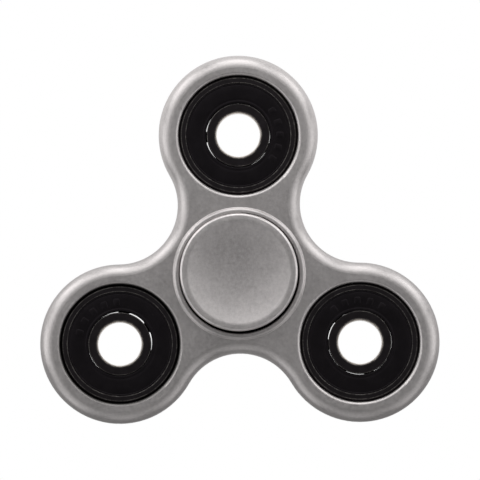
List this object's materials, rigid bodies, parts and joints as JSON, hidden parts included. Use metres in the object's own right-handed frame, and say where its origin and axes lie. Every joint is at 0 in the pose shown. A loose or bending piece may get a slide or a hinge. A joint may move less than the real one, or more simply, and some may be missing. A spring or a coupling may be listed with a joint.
{
  "type": "fidget spinner",
  "caption": "Three-lobed hand spinner whose moulded body turns on an open ball bearing between two dished finger caps, with a sealed ball bearing set in each lobe.",
  "frame": {"origin": "middle of the center bearing, on the spin axis, half way through the thickness", "axes": "+Z along the spin axis, out of the top cap; +Y towards lobe 1; +X towards lobe 3's side"},
  "size_m": [0.0734, 0.0675, 0.0138],
  "materials": {
    "body_paint": "satin metallic silver paint on moulded ABS",
    "cap_paint": "satin metallic silver paint on moulded ABS, dish slightly polished by fingers",
    "ring_steel": "black oxide, ground",
    "ball_steel": "polished",
    "cage_steel": "pressed sheet steel",
    "rivet_steel": "headed wire",
    "seal_rubber": "moulded nitrile rubber, satin"
  },
  "bodies": {
    "hub": {"top_cap": "cap_paint", "bottom_cap": "cap_paint", "center_inner_ring": "ring_steel"},
    "spinner": {"spinner_body": "body_paint", "center_outer_ring": "ring_steel", "lobe1_outer_ring": "ring_steel", "lobe1_seal_top": "seal_rubber", "lobe1_seal_bottom": "seal_rubber", "lobe2_outer_ring": "ring_steel", "lobe2_seal_top": "seal_rubber", "lobe2_seal_bottom": "seal_rubber", "lobe3_outer_ring": "ring_steel", "lobe3_seal_top": "seal_rubber", "lobe3_seal_bottom": "seal_rubber"},
    "center_cage": {"center_cage_upper": "cage_steel", "center_cage_lower": "cage_steel", "center_cage_rivets": "rivet_steel"},
    "center_ball_1": {"center_ball_1": "ball_steel"},
    "center_ball_2": {"center_ball_2": "ball_steel"},
    "center_ball_3": {"center_ball_3": "ball_steel"},
    "center_ball_4": {"center_ball_4": "ball_steel"},
    "center_ball_5": {"center_ball_5": "ball_steel"},
    "center_ball_6": {"center_ball_6": "ball_steel"},
    "center_ball_7": {"center_ball_7": "ball_steel"},
    "lobe1_ring": {"lobe1_inner_ring": "ring_steel"},
    "lobe1_cage": {"lobe1_cage_upper": "cage_steel", "lobe1_cage_lower": "cage_steel", "lobe1_cage_rivets": "rivet_steel"},
    "lobe1_ball_1": {"lobe1_ball_1": "ball_steel"},
    "lobe1_ball_2": {"lobe1_ball_2": "ball_steel"},
    "lobe1_ball_3": {"lobe1_ball_3": "ball_steel"},
    "lobe1_ball_4": {"lobe1_ball_4": "ball_steel"},
    "lobe1_ball_5": {"lobe1_ball_5": "ball_steel"},
    "lobe1_ball_6": {"lobe1_ball_6": "ball_steel"},
    "lobe1_ball_7": {"lobe1_ball_7": "ball_steel"},
    "lobe2_ring": {"lobe2_inner_ring": "ring_steel"},
    "lobe2_cage": {"lobe2_cage_upper": "cage_steel", "lobe2_cage_lower": "cage_steel", "lobe2_cage_rivets": "rivet_steel"},
    "lobe2_ball_1": {"lobe2_ball_1": "ball_steel"},
    "lobe2_ball_2": {"lobe2_ball_2": "ball_steel"},
    "lobe2_ball_3": {"lobe2_ball_3": "ball_steel"},
    "lobe2_ball_4": {"lobe2_ball_4": "ball_steel"},
    "lobe2_ball_5": {"lobe2_ball_5": "ball_steel"},
    "lobe2_ball_6": {"lobe2_ball_6": "ball_steel"},
    "lobe2_ball_7": {"lobe2_ball_7": "ball_steel"},
    "lobe3_ring": {"lobe3_inner_ring": "ring_steel"},
    "lobe3_cage": {"lobe3_cage_upper": "cage_steel", "lobe3_cage_lower": "cage_steel", "lobe3_cage_rivets": "rivet_steel"},
    "lobe3_ball_1": {"lobe3_ball_1": "ball_steel"},
    "lobe3_ball_2": {"lobe3_ball_2": "ball_steel"},
    "lobe3_ball_3": {"lobe3_ball_3": "ball_steel"},
    "lobe3_ball_4": {"lobe3_ball_4": "ball_steel"},
    "lobe3_ball_5": {"lobe3_ball_5": "ball_steel"},
    "lobe3_ball_6": {"lobe3_ball_6": "ball_steel"},
    "lobe3_ball_7": {"lobe3_ball_7": "ball_steel"}
  },
  "joints": [
    {"name": "spinner_spin", "type": "hinge", "parent": "hub", "child": "spinner", "pos_m": [0, 0, 0], "axis": [0, 0, 1], "continuous": true},
    {"name": "center_cage_spin", "type": "hinge", "parent": "hub", "child": "center_cage", "pos_m": [0, 0, 0], "axis": [0, 0, 1], "continuous": true},
    {"name": "center_ball_1_spin", "type": "hinge", "parent": "center_cage", "child": "center_ball_1", "pos_m": [0.00734, 0.00156, 0], "axis": [0, 0, 1], "continuous": true},
    {"name": "center_ball_2_spin", "type": "hinge", "parent": "center_cage", "child": "center_ball_2", "pos_m": [0.00335, 0.00671, 0], "axis": [0, 0, 1], "continuous": true},
    {"name": "center_ball_3_spin", "type": "hinge", "parent": "center_cage", "child": "center_ball_3", "pos_m": [-0.00315, 0.00681, 0], "axis": [0, 0, 1], "continuous": true},
    {"name": "center_ball_4_spin", "type": "hinge", "parent": "center_cage", "child": "center_ball_4", "pos_m": [-0.00729, 0.00178, 0], "axis": [0, 0, 1], "continuous": true},
    {"name": "center_ball_5_spin", "type": "hinge", "parent": "center_cage", "child": "center_ball_5", "pos_m": [-0.00593, -0.00459, 0], "axis": [0, 0, 1], "continuous": true},
    {"name": "center_ball_6_spin", "type": "hinge", "parent": "center_cage", "child": "center_ball_6", "pos_m": [-0.00011, -0.0075, 0], "axis": [0, 0, 1], "continuous": true},
    {"name": "center_ball_7_spin", "type": "hinge", "parent": "center_cage", "child": "center_ball_7", "pos_m": [0.00579, -0.00476, 0], "axis": [0, 0, 1], "continuous": true},
    {"name": "lobe1_ring_spin", "type": "hinge", "parent": "spinner", "child": "lobe1_ring", "pos_m": [0, 0.0255, 0], "axis": [0, 0, 1], "continuous": true},
    {"name": "lobe1_cage_spin", "type": "hinge", "parent": "spinner", "child": "lobe1_cage", "pos_m": [0, 0.0255, 0], "axis": [0, 0, 1], "continuous": true},
    {"name": "lobe1_ball_1_spin", "type": "hinge", "parent": "lobe1_cage", "child": "lobe1_ball_1", "pos_m": [0.00662, 0.02902, 0], "axis": [0, 0, 1], "continuous": true},
    {"name": "lobe1_ball_2_spin", "type": "hinge", "parent": "lobe1_cage", "child": "lobe1_ball_2", "pos_m": [0.00138, 0.03287, 0], "axis": [0, 0, 1], "continuous": true},
    {"name": "lobe1_ball_3_spin", "type": "hinge", "parent": "lobe1_cage", "child": "lobe1_ball_3", "pos_m": [-0.00491, 0.03117, 0], "axis": [0, 0, 1], "continuous": true},
    {"name": "lobe1_ball_4_spin", "type": "hinge", "parent": "lobe1_cage", "child": "lobe1_ball_4", "pos_m": [-0.00749, 0.0252, 0], "axis": [0, 0, 1], "continuous": true},
    {"name": "lobe1_ball_5_spin", "type": "hinge", "parent": "lobe1_cage", "child": "lobe1_ball_5", "pos_m": [-0.00444, 0.01945, 0], "axis": [0, 0, 1], "continuous": true},
    {"name": "lobe1_ball_6_spin", "type": "hinge", "parent": "lobe1_cage", "child": "lobe1_ball_6", "pos_m": [0.00196, 0.01826, 0], "axis": [0, 0, 1], "continuous": true},
    {"name": "lobe1_ball_7_spin", "type": "hinge", "parent": "lobe1_cage", "child": "lobe1_ball_7", "pos_m": [0.00688, 0.02252, 0], "axis": [0, 0, 1], "continuous": true},
    {"name": "lobe2_ring_spin", "type": "hinge", "parent": "spinner", "child": "lobe2_ring", "pos_m": [-0.02208, -0.01275, 0], "axis": [0, 0, 1], "continuous": true},
    {"name": "lobe2_cage_spin", "type": "hinge", "parent": "spinner", "child": "lobe2_cage", "pos_m": [-0.02208, -0.01275, 0], "axis": [0, 0, 1], "continuous": true},
    {"name": "lobe2_ball_1_spin", "type": "hinge", "parent": "lobe2_cage", "child": "lobe2_ball_1", "pos_m": [-0.01565, -0.00889, 0], "axis": [0, 0, 1], "continuous": true},
    {"name": "lobe2_ball_2_spin", "type": "hinge", "parent": "lobe2_cage", "child": "lobe2_ball_2", "pos_m": [-0.0211, -0.00532, 0], "axis": [0, 0, 1], "continuous": true},
    {"name": "lobe2_ball_3_spin", "type": "hinge", "parent": "lobe2_cage", "child": "lobe2_ball_3", "pos_m": [-0.02728, -0.00734, 0], "axis": [0, 0, 1], "continuous": true},
    {"name": "lobe2_ball_4_spin", "type": "hinge", "parent": "lobe2_cage", "child": "lobe2_ball_4", "pos_m": [-0.02955, -0.01344, 0], "axis": [0, 0, 1], "continuous": true},
    {"name": "lobe2_ball_5_spin", "type": "hinge", "parent": "lobe2_cage", "child": "lobe2_ball_5", "pos_m": [-0.0262, -0.01902, 0], "axis": [0, 0, 1], "continuous": true},
    {"name": "lobe2_ball_6_spin", "type": "hinge", "parent": "lobe2_cage", "child": "lobe2_ball_6", "pos_m": [-0.01975, -0.01988, 0], "axis": [0, 0, 1], "continuous": true},
    {"name": "lobe2_ball_7_spin", "type": "hinge", "parent": "lobe2_cage", "child": "lobe2_ball_7", "pos_m": [-0.01506, -0.01537, 0], "axis": [0, 0, 1], "continuous": true},
    {"name": "lobe3_ring_spin", "type": "hinge", "parent": "spinner", "child": "lobe3_ring", "pos_m": [0.02208, -0.01275, 0], "axis": [0, 0, 1], "continuous": true},
    {"name": "lobe3_cage_spin", "type": "hinge", "parent": "spinner", "child": "lobe3_cage", "pos_m": [0.02208, -0.01275, 0], "axis": [0, 0, 1], "continuous": true},
    {"name": "lobe3_ball_1_spin", "type": "hinge", "parent": "lobe3_cage", "child": "lobe3_ball_1", "pos_m": [0.02864, -0.00911, 0], "axis": [0, 0, 1], "continuous": true},
    {"name": "lobe3_ball_2_spin", "type": "hinge", "parent": "lobe3_cage", "child": "lobe3_ball_2", "pos_m": [0.02333, -0.00535, 0], "axis": [0, 0, 1], "continuous": true},
    {"name": "lobe3_ball_3_spin", "type": "hinge", "parent": "lobe3_cage", "child": "lobe3_ball_3", "pos_m": [0.01708, -0.00716, 0], "axis": [0, 0, 1], "continuous": true},
    {"name": "lobe3_ball_4_spin", "type": "hinge", "parent": "lobe3_cage", "child": "lobe3_ball_4", "pos_m": [0.0146, -0.01318, 0], "axis": [0, 0, 1], "continuous": true},
    {"name": "lobe3_ball_5_spin", "type": "hinge", "parent": "lobe3_cage", "child": "lobe3_ball_5", "pos_m": [0.01775, -0.01887, 0], "axis": [0, 0, 1], "continuous": true},
    {"name": "lobe3_ball_6_spin", "type": "hinge", "parent": "lobe3_cage", "child": "lobe3_ball_6", "pos_m": [0.02417, -0.01995, 0], "axis": [0, 0, 1], "continuous": true},
    {"name": "lobe3_ball_7_spin", "type": "hinge", "parent": "lobe3_cage", "child": "lobe3_ball_7", "pos_m": [0.02902, -0.01561, 0], "axis": [0, 0, 1], "continuous": true}
  ],
  "couplings": [
    {"joint": "center_cage_spin", "follows": "spinner_spin", "ratio": 0.6323},
    {"joint": "center_ball_1_spin", "follows": "spinner_spin", "ratio": 1.7573},
    {"joint": "center_ball_2_spin", "follows": "spinner_spin", "ratio": 1.7573},
    {"joint": "center_ball_3_spin", "follows": "spinner_spin", "ratio": 1.7573},
    {"joint": "center_ball_4_spin", "follows": "spinner_spin", "ratio": 1.7573},
    {"joint": "center_ball_5_spin", "follows": "spinner_spin", "ratio": 1.7573},
    {"joint": "center_ball_6_spin", "follows": "spinner_spin", "ratio": 1.7573},
    {"joint": "center_ball_7_spin", "follows": "spinner_spin", "ratio": 1.7573},
    {"joint": "lobe1_cage_spin", "follows": "lobe1_ring_spin", "ratio": 0.3677},
    {"joint": "lobe1_ball_1_spin", "follows": "lobe1_ring_spin", "ratio": -1.7573},
    {"joint": "lobe1_ball_2_spin", "follows": "lobe1_ring_spin", "ratio": -1.7573},
    {"joint": "lobe1_ball_3_spin", "follows": "lobe1_ring_spin", "ratio": -1.7573},
    {"joint": "lobe1_ball_4_spin", "follows": "lobe1_ring_spin", "ratio": -1.7573},
    {"joint": "lobe1_ball_5_spin", "follows": "lobe1_ring_spin", "ratio": -1.7573},
    {"joint": "lobe1_ball_6_spin", "follows": "lobe1_ring_spin", "ratio": -1.7573},
    {"joint": "lobe1_ball_7_spin", "follows": "lobe1_ring_spin", "ratio": -1.7573},
    {"joint": "lobe2_cage_spin", "follows": "lobe2_ring_spin", "ratio": 0.3677},
    {"joint": "lobe2_ball_1_spin", "follows": "lobe2_ring_spin", "ratio": -1.7573},
    {"joint": "lobe2_ball_2_spin", "follows": "lobe2_ring_spin", "ratio": -1.7573},
    {"joint": "lobe2_ball_3_spin", "follows": "lobe2_ring_spin", "ratio": -1.7573},
    {"joint": "lobe2_ball_4_spin", "follows": "lobe2_ring_spin", "ratio": -1.7573},
    {"joint": "lobe2_ball_5_spin", "follows": "lobe2_ring_spin", "ratio": -1.7573},
    {"joint": "lobe2_ball_6_spin", "follows": "lobe2_ring_spin", "ratio": -1.7573},
    {"joint": "lobe2_ball_7_spin", "follows": "lobe2_ring_spin", "ratio": -1.7573},
    {"joint": "lobe3_cage_spin", "follows": "lobe3_ring_spin", "ratio": 0.3677},
    {"joint": "lobe3_ball_1_spin", "follows": "lobe3_ring_spin", "ratio": -1.7573},
    {"joint": "lobe3_ball_2_spin", "follows": "lobe3_ring_spin", "ratio": -1.7573},
    {"joint": "lobe3_ball_3_spin", "follows": "lobe3_ring_spin", "ratio": -1.7573},
    {"joint": "lobe3_ball_4_spin", "follows": "lobe3_ring_spin", "ratio": -1.7573},
    {"joint": "lobe3_ball_5_spin", "follows": "lobe3_ring_spin", "ratio": -1.7573},
    {"joint": "lobe3_ball_6_spin", "follows": "lobe3_ring_spin", "ratio": -1.7573},
    {"joint": "lobe3_ball_7_spin", "follows": "lobe3_ring_spin", "ratio": -1.7573}
  ]
}
